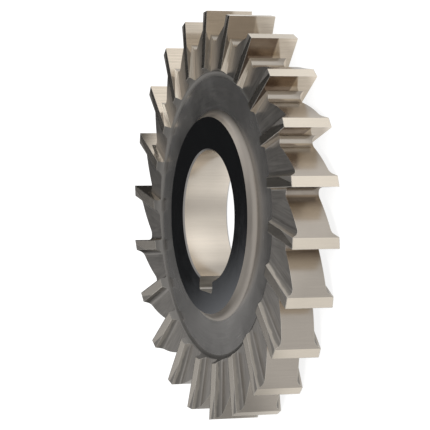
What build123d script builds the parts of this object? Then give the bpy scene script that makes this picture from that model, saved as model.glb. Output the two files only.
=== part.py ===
from build123d import *
from math import cos, radians, sin, sqrt, tan
import os

# Straight-tooth side and face cutter, one solid of high-speed steel, lying flat.
# Lengths are in millimetres and angles in degrees. The axis is +Z, the origin is
# where it meets the lower side, and the keyway points to -Y.

# Body. A recess round the hub on each side has the same slope and corner at both walls.
cutter_diameter = 100.0
cutter_width = 12.0
bore_diameter = 32.0
bore_chamfer = 0.35
hub_diameter = 48.2
recess_depth = 1.95
recess_diameter = 72.2
recess_wall_angle = 68.0
recess_corner_radius = 1.7
recess_corner_flats = 2

# Keyway, as on a drawing: its width, and its height from the far wall of the bore
keyway_width = 8.0
keyway_height = 34.8
keyway_fillet = 0.8

# Teeth on the periphery
tooth_count = 22
tooth_phase = 5.3
rake_angle = 7.0
land_width = 2.6
land_relief = 7.0
root_depth = 9.8
root_fillet = 1.5
back_bulge = 0.75

# Teeth on the two sides, which narrow a little from the tip to the inner end. A gullet
# between them is deepest at the foot of the rake face and rises to the next tooth's back.
side_land_at_tip = 2.6
side_land_at_end = 2.4
side_relief = 3.0
side_back_angle = 65.0
side_back_fillet = 1.3
side_gullet_at_tip = 2.1
side_gullet_at_end = 1.6
side_gullet_rise = 0.33
side_gullet_fillet = 0.6

# How far a cut starts outside the body
clear = 3.0

cutter_radius = cutter_diameter / 2
bore_radius = bore_diameter / 2
hub_radius = hub_diameter / 2
tooth_end_radius = recess_diameter / 2
wall_slope = recess_depth / tan(radians(recess_wall_angle))
corner_reach = recess_corner_radius * tan(radians(recess_wall_angle / 2))
web_radius = tooth_end_radius - wall_slope - corner_reach
middle = cutter_width / 2
web_top = cutter_width - recess_depth
keyway_floor = keyway_height - bore_radius
pitch = 360 / tooth_count
first_tooth = 90 + tooth_phase


def polar(radius, angle):
    return Vector(radius * cos(radians(angle)), radius * sin(radians(angle)))


def edge_point(angle, depth, behind=0.0):
    """A point at a depth along the edge of the tooth at an angle, or behind that edge."""
    tip = polar(cutter_radius, angle)
    return tip - polar(depth, angle - rake_angle) + polar(behind, angle - rake_angle + 90)


def side_point(angle, depth, behind, below):
    """The same on the upper side, at a distance below the side's face."""
    return edge_point(angle, depth, behind) + Vector(0, 0, cutter_width - below)


def edge_depth(radius):
    """The depth along a cutting edge at which it comes to a radius."""
    passes_centre_at = cutter_radius * sin(radians(rake_angle))
    return cutter_radius * cos(radians(rake_angle)) - sqrt(radius**2 - passes_centre_at**2)


def tooth_outline(angle):
    """One pitch of the outline: a rake face, then the next tooth's back and land."""
    next_angle = angle - pitch
    next_tip = polar(cutter_radius, next_angle)
    root = edge_point(angle, root_depth)
    heel = next_tip + polar(land_width, next_angle + 90 + land_relief)
    Line(polar(cutter_radius, angle), root)
    SagittaArc(root, heel, back_bulge)
    Line(heel, next_tip)


def plane_through(a, b, c):
    """The plane through three points, which go anticlockwise seen from above it."""
    return Plane(a, x_dir=b - a, z_dir=(b - a).cross(c - a))


# Between the side tooth at angle 0 and the next one: the relief of the next tooth's
# land, its back, and the gullet's floor
end_depth = edge_depth(tooth_end_radius)
fall_of_land = tan(radians(side_relief))
next_tip = side_point(-pitch, 0, 0, 0)
next_end = side_point(-pitch, end_depth, 0, 0)
heel_at_tip = side_point(-pitch, 0, side_land_at_tip, side_land_at_tip * fall_of_land)
heel_at_end = side_point(-pitch, end_depth, side_land_at_end, side_land_at_end * fall_of_land)
down_the_back = polar(1, 90 - pitch - rake_angle) - Vector(0, 0, tan(radians(side_back_angle)))
relief_plane = plane_through(next_tip, heel_at_tip, next_end)
back_plane = plane_through(heel_at_tip, heel_at_tip + down_the_back, heel_at_end)
floor_plane = plane_through(
    side_point(0, 0, 0, side_gullet_at_tip),
    side_point(0, end_depth, 0, side_gullet_at_end),
    side_point(-pitch, 0, side_land_at_tip, side_gullet_at_tip - side_gullet_rise),
)


def plan_to_next_edge(angle, behind):
    """The plan from a line behind the edge of one tooth to the next tooth's edge."""
    outside = -clear
    inside = edge_depth(web_radius)
    with BuildSketch(Plane.XY.offset(middle)) as plan:
        with BuildLine():
            Polyline(
                edge_point(angle, outside, behind),
                edge_point(angle, inside, behind),
                edge_point(-pitch, inside),
                edge_point(-pitch, outside),
                close=True,
            )
        make_face()
    return plan.sketch


with BuildPart() as side_gullet:
    extrude(plan_to_next_edge(0, 0), amount=middle + clear)
    split(bisect_by=floor_plane, keep=Keep.TOP)
    split(bisect_by=back_plane, keep=Keep.TOP)
    under_edge = side_point(0, end_depth / 2, 0, side_gullet_at_tip)
    fillet(edges().sort_by_distance(under_edge)[0], side_gullet_fillet)
    under_heel = side_point(-pitch, end_depth / 2, side_land_at_tip, side_gullet_at_tip)
    fillet(edges().sort_by_distance(under_heel)[0], side_back_fillet)

with BuildPart() as side_relief_cut:
    extrude(plan_to_next_edge(-pitch, side_land_at_tip + clear), amount=middle + clear)
    split(bisect_by=relief_plane, keep=Keep.TOP)

# The turned body: a raised hub, a recess on each side, and a rim as wide as the hub. The
# outer corner of the recess is rounded in flats, because the gullets cut it.
corner_centre = Vector(web_radius, web_top + recess_corner_radius)
flat_angle = recess_wall_angle / recess_corner_flats
outer_corner = [
    corner_centre + polar(recess_corner_radius, flat * flat_angle - 90)
    for flat in range(recess_corner_flats + 1)
]
with BuildPart() as turned:
    with BuildSketch(Plane.XZ) as half_section:
        with BuildLine():
            Polyline(
                (bore_radius, middle),
                (bore_radius, cutter_width - bore_chamfer),
                (bore_radius + bore_chamfer, cutter_width),
                (hub_radius, cutter_width),
                (hub_radius + wall_slope, web_top),
                *outer_corner,
                (tooth_end_radius, cutter_width),
                (cutter_radius + clear, cutter_width),
                (cutter_radius + clear, middle),
                close=True,
            )
        make_face()
        fillet(vertices().group_by(Axis.Y)[1].sort_by(Axis.X)[0], recess_corner_radius)
    revolve()
    mirror(about=Plane.XY.offset(middle))

with BuildPart() as cutter:
    with BuildSketch():
        with BuildLine():
            for tooth in range(tooth_count):
                tooth_outline(first_tooth - tooth * pitch)
        make_face()
        roots = [v for v in vertices() if Vector(v.X, v.Y).length < cutter_radius - root_depth / 2]
        fillet(roots, root_fillet)
    extrude(amount=cutter_width)
    add(turned.part, mode=Mode.INTERSECT)
    with BuildSketch():
        with Locations((0, -keyway_floor / 2)):
            Rectangle(keyway_width, keyway_floor)
        fillet(vertices().group_by(Axis.Y)[0], keyway_fillet)
    extrude(amount=cutter_width, mode=Mode.SUBTRACT)
    with PolarLocations(0, tooth_count, start_angle=first_tooth):
        for cut in (side_gullet.part, side_relief_cut.part):
            add(cut, mode=Mode.SUBTRACT)
            add(cut.mirror(Plane.XY.offset(middle)), mode=Mode.SUBTRACT)

cutter.part.label = "cutter"
os.makedirs("parts", exist_ok=True)
export_step(cutter.part, "parts/cutter.step")
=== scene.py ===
import math

import bmesh
import bpy
import numpy as np
from mathutils import Matrix, Vector


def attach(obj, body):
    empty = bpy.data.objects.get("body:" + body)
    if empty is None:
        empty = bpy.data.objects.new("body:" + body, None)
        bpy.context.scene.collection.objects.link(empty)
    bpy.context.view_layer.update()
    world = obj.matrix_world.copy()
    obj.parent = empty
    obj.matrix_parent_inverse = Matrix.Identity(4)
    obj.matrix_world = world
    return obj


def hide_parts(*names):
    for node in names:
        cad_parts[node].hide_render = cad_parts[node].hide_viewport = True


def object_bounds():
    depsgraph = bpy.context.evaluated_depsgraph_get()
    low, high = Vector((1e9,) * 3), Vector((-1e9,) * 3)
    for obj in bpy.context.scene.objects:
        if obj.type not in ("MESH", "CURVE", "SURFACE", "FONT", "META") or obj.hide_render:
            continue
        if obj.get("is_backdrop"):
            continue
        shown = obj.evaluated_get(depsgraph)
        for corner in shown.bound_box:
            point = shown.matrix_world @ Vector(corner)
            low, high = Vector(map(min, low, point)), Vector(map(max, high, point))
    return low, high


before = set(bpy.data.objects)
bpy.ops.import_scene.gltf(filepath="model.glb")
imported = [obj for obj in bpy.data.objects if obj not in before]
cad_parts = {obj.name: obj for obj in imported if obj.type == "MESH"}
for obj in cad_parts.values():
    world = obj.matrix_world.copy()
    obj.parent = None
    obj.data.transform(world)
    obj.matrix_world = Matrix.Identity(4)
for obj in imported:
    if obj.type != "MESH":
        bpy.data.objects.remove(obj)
cad_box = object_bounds()

# The scene is in metres
MM = 0.001

# Sizes of the cutter in millimetres and angles in degrees, as in the part's source
WIDTH = 12.0
CUTTER_RADIUS = 50.0
BORE_RADIUS = 16.0
HUB_RADIUS = 24.1
RECESS_DEPTH = 1.95
TOOTH_END_RADIUS = 36.1
KEYWAY_WIDTH = 8.0
TEETH = 22
FIRST_TOOTH = 95.3
RAKE = 7.0
LAND_RELIEF = 7.0
GULLET_FILLET = 0.6
PITCH = 360.0 / TEETH

# The photograph's camera: its place, its directions and its angle of view
CAMERA_AT = Vector((593.37, 66.23, 261.33)) * MM
CAMERA_RIGHT = Vector((0.38673, 0.03073, -0.92168))
CAMERA_UP = Vector((-0.10605, 0.99430, -0.01135))
CAMERA_BACK = Vector((0.91607, 0.10213, 0.38779))
CAMERA_CLIPS = (0.01, 50.0)
FOCAL_PIXELS = 2647.18
IMAGE_PIXELS = 430
SENSOR_MM = 36.0

# How bright the studio is round the horizon: degrees from +X towards +Y, and brightness
HORIZON = (
    (-180, 0.03),
    (-176, 0.03),
    (-174, 0.42),
    (-168, 0.46),
    (-166, 0.58),
    (-150, 0.56),
    (-110, 0.38),
    (-30, 0.36),
    (20, 0.38),
    (60, 0.52),
    (110, 0.58),
    (140, 0.38),
    (160, 0.14),
    (174, 0.02),
    (180, 0.01),
)
# The same close to the table, and the heights in degrees between which the two blend
LOW_HORIZON = (
    (-180, 0.04),
    (-165, 0.10),
    (-147, 0.15),
    (-134, 0.22),
    (-105, 0.32),
    (-72, 0.50),
    (-39, 0.54),
    (-24, 0.30),
    (-10, 0.06),
    (8, 0.12),
    (27, 0.36),
    (59, 0.75),
    (91, 0.92),
    (122, 0.85),
    (152, 0.05),
    (180, 0.04),
)
LOW_HEIGHTS = (12.0, 16.0)
# The angles in degrees between which the studio's dark side ends, and its brightness. That end
# leans by this share of a degree for each degree of height, near this height and over this
# reach on both sides of it.
DARK_SIDE_END = (-172.75, -170.95)
DARK_SIDE = 0.025
DARK_SIDE_LEAN = 0.9
LEAN_HEIGHT = 23.0
LEAN_REACH = 2.4
# The brightness overhead, and the sines of the heights between which it takes over
OVERHEAD = 0.55
OVERHEAD_SINES = (0.55, 0.80)

# The table is a square, laid a hair below the cutter: half its side and that gap, in metres
TABLE_HALF = 6.0
TABLE_DROP = 0.02 * MM
# As the camera sees it: how much light its matt surface sends back, and its own glow
TABLE_MATT = 0.25
TABLE_SEEN = 0.85
# As the steel mirrors it: its brightness in the middle, towards +Y and towards -Y
TABLE = 0.75
TABLE_PLUS_Y = 0.92
TABLE_MINUS_Y = 0.42
# The share of that brightness that is left towards -X, in a ring under the teeth, and in a spot
TABLE_MINUS_X = 0.03
# The ring is the cutter's shadow, painted into the glow that the steel mirrors, with a brownish
# tint
RING_SHADE = 0.66
RING_SHADOW_TINT = (1.0, 0.93, 0.86, 1.0)
SPOT_SHADE = 0.78
# Where each of these fades, in metres: along X or Y, or as radii from the cutter's axis or from
# the middle of the spot
PLUS_Y_EDGE = (-0.004, 0.010)
MINUS_Y_EDGE = (-0.042, -0.066)
MINUS_X_EDGE = (-0.066, -0.050)
RING_INSIDE = (0.020, 0.026)
RING_OUTSIDE = (0.044, 0.050)
SPOT_MIDDLE = (0.009, 0.055, 0.0)
SPOT_REACH = (0.010, 0.026)

# A lamp over the table, which the steel doesn't mirror, in metres and watts
LAMP_AT = Vector((-0.1, 0.1, 0.9))
LAMP_SIZE = (1.0, 0.8)
LAMP_WATTS = 9.0
LAMP_COLOUR = (1.0, 0.98, 0.95)

# The steel's grain. Marks are stretched noise, and patches are soft noise.
MARK_NOISE = {"Scale": 1.0, "Detail": 3.0, "Roughness": 0.6}
PATCH_NOISE = {"Scale": 160.0, "Detail": 4.0, "Roughness": 0.55}
NOISE_MIDDLE = 0.5
ROUGHNESS_SPREAD = 0.08
# How far apart in the noise two neighbouring teeth are, in millimetres
MARKS_APART = 7.3

# A worn edge with a painted highlight: its width in millimetres, the samples that it is found
# with, the colour that it is rubbed and lit to, and how well the rounded direction matches the
# face's own where the rubbing and highlight begin and are full
WORN_HIGHLIT_WIDTH = 0.3
WORN_HIGHLIT_SAMPLES = 6
RUBBED_HIGHLIGHT = (0.95, 0.90, 0.83, 1.0)
HIGHLIGHT_MATCH = (0.98, 0.85)

# Behind a side tooth's edge the land is polished over this width at the tip and over this much
# more for each millimetre inwards. The rest is dull: where that begins and is full behind the
# polished strip, in millimetres, its colour, and how much rougher it is.
POLISHED_AT_TIP = 0.9
POLISHED_MORE = 0.2
DULL_EDGE = (-0.1, 0.2)
DULL = (0.41, 0.385, 0.355, 1.0)
DULL_ROUGHER = 0.3

# The back of a side tooth is painted with shade below its top: the depths below the side in
# millimetres between which it darkens, how uneven that line is, and the foot's colour
SHADED_FOOT_DEPTHS = (0.60, 1.05)
SHADED_FOOT_UNEVEN = 1.6
SHADED_FOOT = (0.31, 0.29, 0.265, 1.0)

# Painted dark reflection browns the rake faces of the teeth on one side, from the upper side
# down: the middle of those teeth and how far it reaches, in degrees, the heights in millimetres
# between which it ends, how much there is, how uneven it is, and its colour
DARK_REFLECTION_MIDDLE = 48.0
DARK_REFLECTION_REACH = (20.0, 40.0)
DARK_REFLECTION_HEIGHTS = (4.75, 5.25)
DARK_REFLECTION_SHARE = 0.85
DARK_REFLECTION_UNEVEN = 1.2
REFLECTION_AND_SHADE = (0.30, 0.25, 0.23, 1.0)
# The same kinds of values for painted shade at the roots of the teeth, in the same colour, with
# the radii in millimetres between which it ends
ROOT_SHADE_MIDDLE = -4.0
ROOT_SHADE_REACH = (12.0, 24.0)
ROOT_SHADE_RADII = (45.2, 42.6)
ROOT_SHADE_SHARE = 0.70
ROOT_SHADE_UNEVEN = 1.0

# How bright the bore is painted in soft bands of reflection: degrees from +X towards +Y, and
# brightness
BORE_REFLECTION_BANDS = (
    (-180, 0.80),
    (-166, 1.00),
    (-150, 1.25),
    (-134, 1.05),
    (-117, 0.72),
    (-80, 0.90),
    (80, 0.80),
    (112, 0.60),
    (128, 0.82),
    (145, 0.96),
    (161, 1.06),
    (177, 0.78),
)
# The same for the web, as painted light and shade
WEB_LIGHT_BANDS = (
    (-180, 0.55),
    (-135, 0.60),
    (-100, 0.82),
    (-60, 1.00),
    (-38, 0.93),
    (-8, 0.68),
    (25, 0.84),
    (100, 0.93),
    (145, 0.76),
    (172, 0.56),
)

# Vertices nearer than this, in metres, are one, and an edge that turns more than this many
# degrees is sharp
SAME_PLACE = 1e-7
SHARP_ANGLE = 28.0

# The rest tells faces apart, in millimetres and degrees. A face lies in a plane of a tooth when
# its direction and its centre are this close to it.
PLANE_ANGLE = 0.6
PLANE_DISTANCE = 0.05
# What is in front of a rake face is at these depths inwards from its tip, and at most this
# little behind its plane. This share of a pitch in front of a tip still belongs to that tooth.
RAKE_DEPTHS = (-0.5, 20.0)
RAKE_BEHIND = 0.02
FRONT_SHARE = 0.2
# Upright is the size of a normal's Z, which is less than the first of these for a wall and more
# than the second for a flat face
WALL = 0.05
FLAT = 0.9995
SIDE_BACK_UPRIGHT = (WALL, 0.85)
SIDE_RAKE_UPRIGHT = 0.95
SIDE_LAND_UPRIGHT = (0.99, 0.9999)
RECESS_WALL_UPRIGHT = (0.3, 0.99)
CHAMFER_UPRIGHT = (0.1, 0.99)
# How much a normal points to the front of the nearest rake face, or to the axis
SIDE_BACK_AHEAD = -0.3
SIDE_RAKE_AHEAD = 0.2
RECESS_WALL_INWARD = 0.2
HUB_WALL_INWARD = -0.1
# Depths below the nearest side, and how far off the recess's depth the web may be
SIDE_TEETH_DEPTHS = (0.05, 2.6)
SIDE_LAND_DEPTH = 0.3
HUB_WALL_DEPTH = 0.005
HUB_FACE_DEPTH = 0.01
WEB_DISTANCE = 0.02
# The width of a side rake wall's strip, which takes in the fillet at its foot
SIDE_RAKE_STRIP = GULLET_FILLET + 0.1
# The radii that a finish starts from or goes out to, which leave its surface some room, and the
# same to each side of the keyway
TEETH_FROM = TOOTH_END_RADIUS - 3.0
SIDE_LAND_FROM = TOOTH_END_RADIUS - 0.5
RECESS_WALL_TO = TOOTH_END_RADIUS + 0.2
TOOTH_BACK_FROM = 40.6
RAKE_FACE_FROM = TOOTH_BACK_FROM + 0.5
OUTER_LAND_FROM = CUTTER_RADIUS - 1.0
HUB_WALL_TO = HUB_RADIUS + 2.2
BORE_TO = BORE_RADIUS + 0.05
CHAMFER_TO = BORE_RADIUS + 0.5
KEYWAY_RADII = (BORE_RADIUS - 0.3, BORE_RADIUS + 4.0)
KEYWAY_HALF = KEYWAY_WIDTH / 2 + 0.05


def radians(angles):
    return [math.radians(angle) for angle in angles]


def metres(lengths):
    return [length * MM for length in lengths]


def grey(level):
    return (level, level, level, 1.0)


class Nodes:
    """A short way to write a node tree. All but add and put return an output, or several."""

    def __init__(self, tree):
        self.tree = tree
        tree.nodes.clear()

    def add(self, kind, inputs=(), **settings):
        node = self.tree.nodes.new(kind)
        for name, value in settings.items():
            setattr(node, name, value)
        for name, value in dict(inputs).items():
            self.put(node.inputs[name], value)
        return node

    def put(self, socket, value):
        if isinstance(value, bpy.types.NodeSocket):
            self.tree.links.new(value, socket)
        else:
            socket.default_value = value

    def math(self, operation, *values):
        return self.add("ShaderNodeMath", enumerate(values), operation=operation).outputs[0]

    def vector(self, operation, *values):
        return self.add("ShaderNodeVectorMath", enumerate(values), operation=operation).outputs[0]

    def measure(self, operation, *values):
        """A number that is worked out from vectors."""
        node = self.add("ShaderNodeVectorMath", enumerate(values), operation=operation)
        return node.outputs["Value"]

    def split(self, vector):
        return self.add("ShaderNodeSeparateXYZ", {"Vector": vector}).outputs

    def place(self):
        return self.add("ShaderNodeTexCoord").outputs["Object"]

    def normal(self):
        return self.add("ShaderNodeNewGeometry").outputs["Normal"]

    def seen_by_camera(self):
        return self.add("ShaderNodeLightPath").outputs["Is Camera Ray"]

    def noise(self, vector, sizes):
        return self.add("ShaderNodeTexNoise", {"Vector": vector, **sizes}).outputs["Fac"]

    def smooth(self, value, low, high, to_low=0.0, to_high=1.0):
        """Goes smoothly between two numbers while a value goes from low to high."""
        ends = enumerate((value, low, high, to_low, to_high))
        return self.add("ShaderNodeMapRange", ends, interpolation_type="SMOOTHSTEP").outputs[0]

    def mix_colour(self, share, a, b, blend="MIX"):
        # The node also mixes numbers and vectors, and its colours are the inputs 6 and 7
        colours = {0: share, 6: a, 7: b}
        return self.add("ShaderNodeMix", colours, data_type="RGBA", blend_type=blend).outputs[2]

    def round_axis(self, turn, stops):
        """The brightness at an angle in radians, from stops of degrees and brightness."""
        share = self.math("FRACT", self.math("MULTIPLY_ADD", turn, 0.5 / math.pi, 0.5))
        node = self.add("ShaderNodeValToRGB", {"Fac": share})
        node.color_ramp.interpolation = "EASE"
        elements = node.color_ramp.elements
        while len(elements) < len(stops):
            elements.new(0.5)
        for element, (angle, level) in zip(elements, stops):
            element.position = 0.5 + angle / 360.0
            element.color = grey(level)
        return node.outputs["Color"]


def place_camera():
    data = bpy.data.cameras.new("camera")
    data.sensor_fit = "HORIZONTAL"
    data.sensor_width = SENSOR_MM
    data.lens = FOCAL_PIXELS / IMAGE_PIXELS * SENSOR_MM
    data.clip_start, data.clip_end = CAMERA_CLIPS
    camera = bpy.data.objects.new("camera", data)
    turn = Matrix((CAMERA_RIGHT, CAMERA_UP, CAMERA_BACK)).transposed().to_4x4()
    camera.matrix_world = Matrix.Translation(CAMERA_AT) @ turn
    bpy.context.collection.objects.link(camera)
    bpy.context.scene.camera = camera


def light_world():
    """A studio round the cutter, which the camera sees as plain white."""
    world = bpy.data.worlds.new("studio")
    bpy.context.scene.world = world
    world.use_nodes = True
    n = Nodes(world.node_tree)
    x, y, z = n.split(n.add("ShaderNodeTexCoord").outputs["Generated"])
    height = n.math("ARCSINE", z)

    low, high = radians((LEAN_HEIGHT - LEAN_REACH, LEAN_HEIGHT + LEAN_REACH))
    most = DARK_SIDE_LEAN * math.radians(LEAN_REACH)
    lean = n.add("ShaderNodeMapRange", enumerate((height, low, high, -most, most))).outputs[0]
    turn = n.math("ADD", n.math("ARCTAN2", y, x), lean)

    past_dark = n.smooth(turn, *radians(DARK_SIDE_END))
    horizon = n.mix_colour(past_dark, grey(DARK_SIDE), n.round_axis(turn, HORIZON))
    above_low = n.smooth(height, *radians(LOW_HEIGHTS))
    horizon = n.mix_colour(above_low, n.round_axis(turn, LOW_HORIZON), horizon)
    colour = n.mix_colour(n.smooth(z, *OVERHEAD_SINES), horizon, grey(OVERHEAD))
    colour = n.mix_colour(n.seen_by_camera(), colour, grey(1.0))
    background = n.add("ShaderNodeBackground", {"Color": colour, "Strength": 1.0})
    n.add("ShaderNodeOutputWorld", {"Surface": background.outputs[0]})


def table_material():
    """White to the camera. The steel mirrors a glow with shades in it instead."""
    material = bpy.data.materials.new("floor")
    material.use_nodes = True
    n = Nodes(material.node_tree)
    place = n.place()
    x, y, _ = n.split(place)
    plus_y = n.smooth(y, *PLUS_Y_EDGE, TABLE, TABLE_PLUS_Y)
    minus_y = n.smooth(y, *MINUS_Y_EDGE, 1.0, TABLE_MINUS_Y / TABLE)
    minus_x = n.smooth(x, *MINUS_X_EDGE, TABLE_MINUS_X, 1.0)
    from_axis = n.measure("LENGTH", place)
    # A painted shadow of the cutter in a ring round the axis, under its teeth
    inside = n.smooth(from_axis, *RING_INSIDE, 0.0, 1.0 - RING_SHADE)
    outside = n.smooth(from_axis, *RING_OUTSIDE, 1.0, 0.0)
    shadow_ring = n.math("MULTIPLY", inside, outside)
    from_spot = n.measure("DISTANCE", place, SPOT_MIDDLE)
    spot = n.smooth(from_spot, *SPOT_REACH, SPOT_SHADE, 1.0)

    along_y = n.math("MULTIPLY", plus_y, minus_y)
    shades = n.math("MULTIPLY", minus_x, n.math("SUBTRACT", 1.0, shadow_ring))
    glow = n.math("MULTIPLY", n.math("MULTIPLY", along_y, shades), spot)
    tint = n.mix_colour(shadow_ring, grey(1.0), RING_SHADOW_TINT)
    mirrored = n.add("ShaderNodeEmission", {"Color": tint, "Strength": glow}).outputs[0]
    matt = n.add("ShaderNodeBsdfDiffuse", {"Color": grey(TABLE_MATT)}).outputs[0]
    own_glow = n.add("ShaderNodeEmission", {"Strength": TABLE_SEEN}).outputs[0]
    white = n.add("ShaderNodeAddShader", {0: matt, 1: own_glow}).outputs[0]
    both = n.add("ShaderNodeMixShader", {0: n.seen_by_camera(), 1: mirrored, 2: white})
    n.add("ShaderNodeOutputMaterial", {"Surface": both.outputs[0]})
    return material


def lay_floor():
    mesh = bpy.data.meshes.new("floor")
    half = TABLE_HALF
    corners = [(-half, -half, 0), (half, -half, 0), (half, half, 0), (-half, half, 0)]
    mesh.from_pydata(corners, [], [(0, 1, 2, 3)])
    mesh.materials.append(table_material())
    floor = bpy.data.objects.new("floor", mesh)
    floor.location.z = -TABLE_DROP
    bpy.context.collection.objects.link(floor)
    floor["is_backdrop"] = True


def hang_lamp():
    data = bpy.data.lights.new("overhead", "AREA")
    data.shape = "RECTANGLE"
    data.size, data.size_y = LAMP_SIZE
    data.energy = LAMP_WATTS
    data.color = LAMP_COLOUR
    lamp = bpy.data.objects.new("overhead", data)
    lamp.location = LAMP_AT
    lamp.rotation_euler = (-LAMP_AT).to_track_quat("-Z", "Y").to_euler()
    bpy.context.collection.objects.link(lamp)
    lamp.visible_glossy = False


def near_angle(n, x, y, middle, reach):
    """1 round an angle in degrees, which fades to 0 over a reach on both sides of it."""
    away = n.math("SUBTRACT", n.math("ARCTAN2", y, x), math.radians(middle))
    return n.smooth(n.math("ABSOLUTE", away), *radians(reach), 1.0, 0.0)


def dark_reflection(n, place, patch):
    """How much painted dark reflection there is on the rake faces."""
    x, y, z = n.split(place)
    near = near_angle(n, x, y, DARK_REFLECTION_MIDDLE, DARK_REFLECTION_REACH)
    above = n.smooth(z, *metres(DARK_REFLECTION_HEIGHTS))
    darkness = n.math("MULTIPLY_ADD", patch, DARK_REFLECTION_UNEVEN, DARK_REFLECTION_SHARE)
    return n.math("MULTIPLY", n.math("MULTIPLY", near, above), darkness)


def root_shade(n, place, patch):
    """How much painted shade there is at the roots of the teeth."""
    x, y, _ = n.split(place)
    near = near_angle(n, x, y, ROOT_SHADE_MIDDLE, ROOT_SHADE_REACH)
    radius = n.math("SQRT", n.math("ADD", n.math("MULTIPLY", x, x), n.math("MULTIPLY", y, y)))
    deep = n.smooth(radius, *metres(ROOT_SHADE_RADII))
    darkness = n.math("MULTIPLY_ADD", patch, ROOT_SHADE_UNEVEN, ROOT_SHADE_SHARE)
    return n.math("MULTIPLY", n.math("MULTIPLY", near, deep), darkness)


def banded(n, place, base, bands):
    """The colour with soft bands of painted light, shade and reflection round the cutter's axis.
    """
    x, y, _ = n.split(place)
    return n.mix_colour(1.0, base, n.round_axis(n.math("ARCTAN2", y, x), bands), "MULTIPLY")


def dull_behind_edge(n, marks, base, rough):
    """The colour and roughness of a side land, which is polished only along its edge."""
    inwards, behind, _ = n.split(marks)
    # On a tooth the marks' second part is the way behind its edge plus the height
    upper = n.math("GREATER_THAN", behind, WIDTH / 2)
    behind = n.math("SUBTRACT", behind, n.math("MULTIPLY", upper, WIDTH))
    polished = n.math("MULTIPLY_ADD", inwards, POLISHED_MORE, POLISHED_AT_TIP)
    dull = n.smooth(n.math("SUBTRACT", behind, polished), *DULL_EDGE)
    return n.mix_colour(dull, base, DULL), n.math("MULTIPLY_ADD", dull, DULL_ROUGHER, rough)


def shaded_at_foot(n, place, patch, base):
    """The colour of a side tooth's back, with painted shade below its top."""
    _, _, z = n.split(place)
    middle = WIDTH / 2 * MM
    below = n.math("SUBTRACT", middle, n.math("ABSOLUTE", n.math("SUBTRACT", z, middle)))
    below = n.math("MULTIPLY_ADD", patch, SHADED_FOOT_UNEVEN * MM, below)
    return n.mix_colour(n.smooth(below, *metres(SHADED_FOOT_DEPTHS)), base, SHADED_FOOT)


def rubbed_highlit_edges(n, base, wear_and_highlight):
    """The colour with its edges rubbed and a highlight painted on them, and the direction of the
    surface rounded at them.
    """
    bevel = n.add("ShaderNodeBevel", {"Radius": WORN_HIGHLIT_WIDTH * MM}, samples=WORN_HIGHLIT_SAMPLES)
    rounded = bevel.outputs[0]
    match = n.measure("DOT_PRODUCT", rounded, n.normal())
    rubbed_highlight = n.math("MULTIPLY", n.smooth(match, *HIGHLIGHT_MATCH), wear_and_highlight)
    return n.mix_colour(rubbed_highlight, base, RUBBED_HIGHLIGHT), rounded


def leaning(n, place, lean):
    """The surface's direction, levelled and then leaned away from the cutter's middle plane."""
    level = n.vector("NORMALIZE", n.vector("MULTIPLY", n.normal(), (1.0, 1.0, 0.0)))
    _, _, z = n.split(place)
    side = n.math("SIGN", n.math("SUBTRACT", z, WIDTH / 2 * MM))
    up = n.add("ShaderNodeCombineXYZ", {"Z": n.math("MULTIPLY", side, lean)}).outputs[0]
    return n.vector("NORMALIZE", n.vector("ADD", level, up))


def uneven(n, middle, marks, by_marks, patch, by_patch):
    """A value that changes along the marks and from patch to patch."""
    with_marks = n.math("MULTIPLY_ADD", marks, by_marks, middle)
    return n.math("ADD", with_marks, n.math("MULTIPLY", patch, by_patch))


def steel(
    name,
    colour,
    roughness,
    grain,
    tone,
    mottle=0.06,
    bump=0.0,
    wear_and_highlight=0.0,
    lean=0.0,
    bands=(),
    painted_darkening=None,
    dull_heel=False,
    shaded_foot=False,
):
    """Steel whose marks run along its cut.

    Grain is a mark's length and width in millimetres, and bump its depth. Tone and mottle are
    how much the marks and the patches change the brightness. Wear and highlight is how far the
    edges are rubbed and given a painted highlight, from 0 to 1, and lean how far the surface's
    direction is tipped.
    """
    material = bpy.data.materials.new(name)
    material.use_nodes = True
    n = Nodes(material.node_tree)
    marks = n.add("ShaderNodeAttribute", attribute_name="marks").outputs["Vector"]
    place = n.place()
    length, width = grain
    relief = n.noise(n.vector("MULTIPLY", marks, (1 / length, 1 / width, 1.0)), MARK_NOISE)
    line = n.math("SUBTRACT", relief, NOISE_MIDDLE)
    patch = n.math("SUBTRACT", n.noise(place, PATCH_NOISE), NOISE_MIDDLE)
    rough = uneven(n, roughness, line, ROUGHNESS_SPREAD, patch, ROUGHNESS_SPREAD)
    value = uneven(n, 1.0, line, 2 * tone, patch, 2 * mottle)
    tinted = n.add("ShaderNodeHueSaturation", {"Color": (*colour, 1.0), "Value": value})
    base = tinted.outputs[0]
    normal = None
    # Painted dark reflection on the rake faces, and painted shade at the roots of the teeth
    if painted_darkening:
        base = n.mix_colour(painted_darkening(n, place, patch), base, REFLECTION_AND_SHADE, "MULTIPLY")
    # Painted light, shade and reflection in soft bands round the axis
    if bands:
        base = banded(n, place, base, bands)
    if dull_heel:
        base, rough = dull_behind_edge(n, marks, base, rough)
    # Painted shade on the lower part of a side tooth's back
    if shaded_foot:
        base = shaded_at_foot(n, place, patch, base)
    # Rubbed edges with a painted highlight
    if wear_and_highlight:
        base, normal = rubbed_highlit_edges(n, base, wear_and_highlight)
    if bump:
        dent = {"Height": relief, "Strength": 1.0, "Distance": bump * MM}
        normal = n.add("ShaderNodeBump", dent).outputs[0]
    elif lean:
        normal = leaning(n, place, lean)
    surface = {"Base Color": base, "Roughness": rough, "Metallic": 1.0}
    if normal is not None:
        surface["Normal"] = normal
    shader = n.add("ShaderNodeBsdfPrincipled", surface)
    n.add("ShaderNodeOutputMaterial", {"Surface": shader.outputs[0]})
    return material


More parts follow.
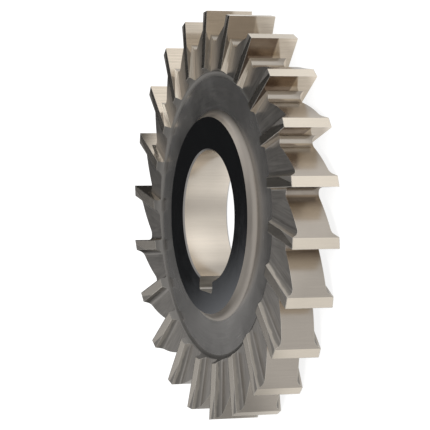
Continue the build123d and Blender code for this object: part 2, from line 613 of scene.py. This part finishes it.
# The finishes of the cutter, in the order of its material slots
FINISHES = {
    "hub_face": dict(
        colour=(0.275, 0.285, 0.305), roughness=0.06, grain=(9.0, 0.3), tone=0.06, bump=0.0002
    ),
    "hub_wall": dict(
        colour=(0.56, 0.51, 0.455), roughness=0.34, grain=(9.0, 0.25), tone=0.08
    ),
    "web": dict(
        colour=(0.585, 0.565, 0.545), roughness=0.25, grain=(9.0, 0.4), tone=0.20, mottle=0.24,
        bands=WEB_LIGHT_BANDS,
    ),
    "recess_wall": dict(
        colour=(0.34, 0.325, 0.305), roughness=0.38, grain=(9.0, 0.4), tone=0.10
    ),
    "side_gullet": dict(
        colour=(0.415, 0.39, 0.362), roughness=0.34, grain=(8.0, 0.35), tone=0.50, mottle=0.22,
        bump=0.001,
    ),
    "side_back": dict(
        colour=(0.56, 0.515, 0.455), roughness=0.34, grain=(4.0, 0.5), tone=0.25, mottle=0.2,
        wear_and_highlight=0.9, shaded_foot=True,
    ),
    "side_rake": dict(
        colour=(0.98, 0.86, 0.72), roughness=0.20, grain=(6.0, 0.25), tone=0.30, lean=0.28
    ),
    "side_land": dict(
        colour=(0.66, 0.605, 0.535), roughness=0.22, grain=(6.0, 0.2), tone=0.10,
        wear_and_highlight=0.9, dull_heel=True,
    ),
    "rake_face": dict(
        colour=(0.77, 0.68, 0.565), roughness=0.13, grain=(9.0, 0.5), tone=0.24, mottle=0.10,
        bump=0.0003, painted_darkening=dark_reflection,
    ),
    "outer_land": dict(
        colour=(0.82, 0.74, 0.63), roughness=0.22, grain=(9.0, 0.22), tone=0.08, wear_and_highlight=0.6
    ),
    "tooth_back": dict(
        colour=(0.49, 0.445, 0.39), roughness=0.24, grain=(9.0, 0.3), tone=0.11,
        bump=0.001, wear_and_highlight=0.5, painted_darkening=root_shade,
    ),
    "bore": dict(
        colour=(0.74, 0.67, 0.58), roughness=0.20, grain=(16.0, 0.9), tone=0.08, bands=BORE_REFLECTION_BANDS
    ),
    "keyway": dict(
        colour=(0.50, 0.48, 0.45), roughness=0.34, grain=(14.0, 0.55), tone=0.9, bump=0.004
    ),
    "chamfer": dict(
        colour=(0.45, 0.43, 0.41), roughness=0.30, grain=(6.0, 0.25), tone=0.08
    ),
}
# The finishes whose marks run from side to side, and those whose marks run round the axis. On
# the others they run along the edges of the side teeth.
MARKS_ACROSS = ("rake_face", "outer_land", "tooth_back", "bore", "keyway")
MARKS_ROUND = ("hub_face", "hub_wall", "web", "recess_wall", "chamfer")


def slot(name):
    return list(FINISHES).index(name)


def within(values, low, high):
    return (values > low) & (values < high)


def unit(degrees):
    """Unit vectors at angles, one row each."""
    turn = np.radians(degrees)
    return np.stack([np.cos(turn), np.sin(turn)], -1)


def in_tooth_plane(centre, normal, turned):
    """Which faces lie in the plane through a tooth's tip that faces this many degrees from the
    tip's direction, and each face's tooth."""
    facing = np.degrees(np.arctan2(normal[:, 1], normal[:, 0]))
    turns = (FIRST_TOOTH + turned - facing) / PITCH
    number = np.round(turns)
    off = np.abs(turns - number) * PITCH
    tip = CUTTER_RADIUS * unit(FIRST_TOOTH - number * PITCH)
    away = np.abs(((centre[:, :2] - tip) * normal[:, :2]).sum(1))
    return (off < PLANE_ANGLE) & (away < PLANE_DISTANCE), number % TEETH


def nearest_rake(centre):
    """Millimetres in front of the nearest rake face's plane, its normal, and its tooth."""
    best = np.full(len(centre), np.inf)
    facing = np.zeros((len(centre), 2))
    tooth = np.zeros(len(centre))
    for number in range(TEETH):
        angle = FIRST_TOOTH - number * PITCH
        ahead = unit(angle - RAKE - 90)
        from_tip = centre[:, :2] - CUTTER_RADIUS * unit(angle)
        in_front = from_tip @ ahead
        depth = -(from_tip @ unit(angle - RAKE))
        nearer = (in_front > -RAKE_BEHIND) & (np.abs(in_front) < np.abs(best))
        here = nearer & within(depth, *RAKE_DEPTHS)
        best[here] = in_front[here]
        facing[here] = ahead
        tooth[here] = number
    return best, facing, tooth


def sort_faces(centre, normal):
    """Each face's material slot, and the tooth that it belongs to."""
    radius = np.hypot(centre[:, 0], centre[:, 1])
    where = np.degrees(np.arctan2(centre[:, 1], centre[:, 0]))
    below = np.minimum(centre[:, 2], WIDTH - centre[:, 2])
    upright = np.abs(normal[:, 2])
    inward = -(normal[:, :2] * centre[:, :2]).sum(1) / radius
    in_front, ahead, front_tooth = nearest_rake(centre)
    faces_ahead = (normal[:, :2] * ahead).sum(1)

    wall = upright < WALL
    flat = upright > FLAT
    in_side = within(below, *SIDE_TEETH_DEPTHS) & (radius > TEETH_FROM)
    side_rake = in_side & (upright < SIDE_RAKE_UPRIGHT) & (faces_ahead > SIDE_RAKE_AHEAD)
    side_rake &= in_front < SIDE_RAKE_STRIP
    rake, rake_tooth = in_tooth_plane(centre, normal, -90.0 - RAKE)
    rake &= wall & (radius > TEETH_FROM)
    land, land_tooth = in_tooth_plane(centre, normal, LAND_RELIEF)
    land &= wall & (radius > OUTER_LAND_FROM)
    tooth = np.ceil((FIRST_TOOTH - where) / PITCH - FRONT_SHARE) % TEETH
    for which, number in ((side_rake, front_tooth), (rake, rake_tooth), (land, land_tooth)):
        tooth[which] = number[which]

    side_back = in_side & within(upright, *SIDE_BACK_UPRIGHT) & (faces_ahead < SIDE_BACK_AHEAD)
    side_land = within(upright, *SIDE_LAND_UPRIGHT) & (below < SIDE_LAND_DEPTH)
    recess_wall = within(upright, *RECESS_WALL_UPRIGHT) & (inward > RECESS_WALL_INWARD)
    web = flat & (np.abs(below - RECESS_DEPTH) < WEB_DISTANCE)
    hub_wall = (below > HUB_WALL_DEPTH) & (inward < HUB_WALL_INWARD)
    keyway = wall & (np.abs(centre[:, 0]) < KEYWAY_HALF) & (centre[:, 1] < 0)
    # A later finish also takes faces that an earlier one fits
    claims = {
        "side_back": side_back,
        "side_rake": side_rake,
        "tooth_back": wall & (radius > TOOTH_BACK_FROM),
        "rake_face": rake & ~(in_side & (radius < RAKE_FACE_FROM)),
        "outer_land": land,
        "side_land": side_land & (radius > SIDE_LAND_FROM),
        "recess_wall": recess_wall & (radius < RECESS_WALL_TO),
        "web": web & (radius < TOOTH_END_RADIUS),
        "hub_wall": hub_wall & (radius < HUB_WALL_TO),
        "hub_face": flat & (below < HUB_FACE_DEPTH) & (radius < HUB_RADIUS),
        "bore": wall & (radius < BORE_TO),
        "keyway": keyway & within(radius, *KEYWAY_RADII),
        "chamfer": within(upright, *CHAMFER_UPRIGHT) & (radius < CHAMFER_TO),
    }
    finish = np.full(len(centre), slot("side_gullet"))
    for name, which in claims.items():
        finish[which] = slot(name)
    return finish, tooth


def grinding_marks(finish, tooth, point):
    """For each corner, millimetres along and across the marks that its finish was cut with."""
    x, y, z = point.T
    radius = np.hypot(x, y)
    turn = np.arctan2(y, x)
    angle = FIRST_TOOTH - tooth * PITCH
    from_tip = point[:, :2] - CUTTER_RADIUS * unit(angle)
    inwards = -(from_tip * unit(angle - RAKE)).sum(1)
    behind = (from_tip * unit(angle - RAKE + 90)).sum(1)
    apart = tooth * MARKS_APART
    along_edge = np.stack([inwards, behind + z, apart], 1)
    across = np.stack([z, turn * CUTTER_RADIUS + inwards, apart], 1)
    round_axis = np.stack([turn * radius, radius, z], 1)

    marks = along_edge
    for names, course in ((MARKS_ACROSS, across), (MARKS_ROUND, round_axis)):
        which = np.isin(finish, [slot(name) for name in names])
        marks[which] = course[which]
    return marks


def smooth_copy(cad):
    """A copy of the CAD's mesh with smooth curves between sharp edges."""
    shape = bmesh.new()
    shape.from_mesh(cad.data)
    bmesh.ops.remove_doubles(shape, verts=shape.verts, dist=SAME_PLACE)
    for edge in shape.edges:
        edge.smooth = edge.calc_face_angle(0.0) < math.radians(SHARP_ANGLE)
    for face in shape.faces:
        face.smooth = True
    mesh = bpy.data.meshes.new("ground_cutter")
    shape.to_mesh(mesh)
    shape.free()
    return mesh


def read(items, name, parts=3, kind=float):
    """What a mesh's items say, one row each."""
    values = np.zeros(len(items) * parts, kind)
    items.foreach_get(name, values)
    return values.reshape(-1, parts)


def dress_cutter():
    """The CAD's own form with smooth curves, and a finish on each of its surfaces."""
    mesh = smooth_copy(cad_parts["cutter"])
    centre = read(mesh.polygons, "center") / MM
    finish, tooth = sort_faces(centre, read(mesh.polygons, "normal"))
    mesh.polygons.foreach_set("material_index", finish.astype(np.int32))
    for name, look in FINISHES.items():
        mesh.materials.append(steel(name, **look))

    corners = read(mesh.polygons, "loop_total", 1, int)[:, 0]
    vertex = read(mesh.loops, "vertex_index", 1, int)[:, 0]
    point = read(mesh.vertices, "co")[vertex] / MM
    marks = grinding_marks(np.repeat(finish, corners), np.repeat(tooth, corners), point)
    attribute = mesh.attributes.new("marks", "FLOAT_VECTOR", "CORNER")
    attribute.data.foreach_set("vector", marks.astype(np.float32).ravel())

    piece = bpy.data.objects.new("ground_cutter", mesh)
    bpy.context.collection.objects.link(piece)
    weighted = piece.modifiers.new("flat faces stay flat", "WEIGHTED_NORMAL")
    weighted.keep_sharp = True
    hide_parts("cutter")
    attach(piece, "root")


place_camera()
light_world()
lay_floor()
hang_lamp()
dress_cutter()

bpy.context.scene.view_settings.view_transform = "Standard"
corners_of = lambda box: [list(corner) for corner in box]
{"cad": corners_of(cad_box), "visual": corners_of(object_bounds())}
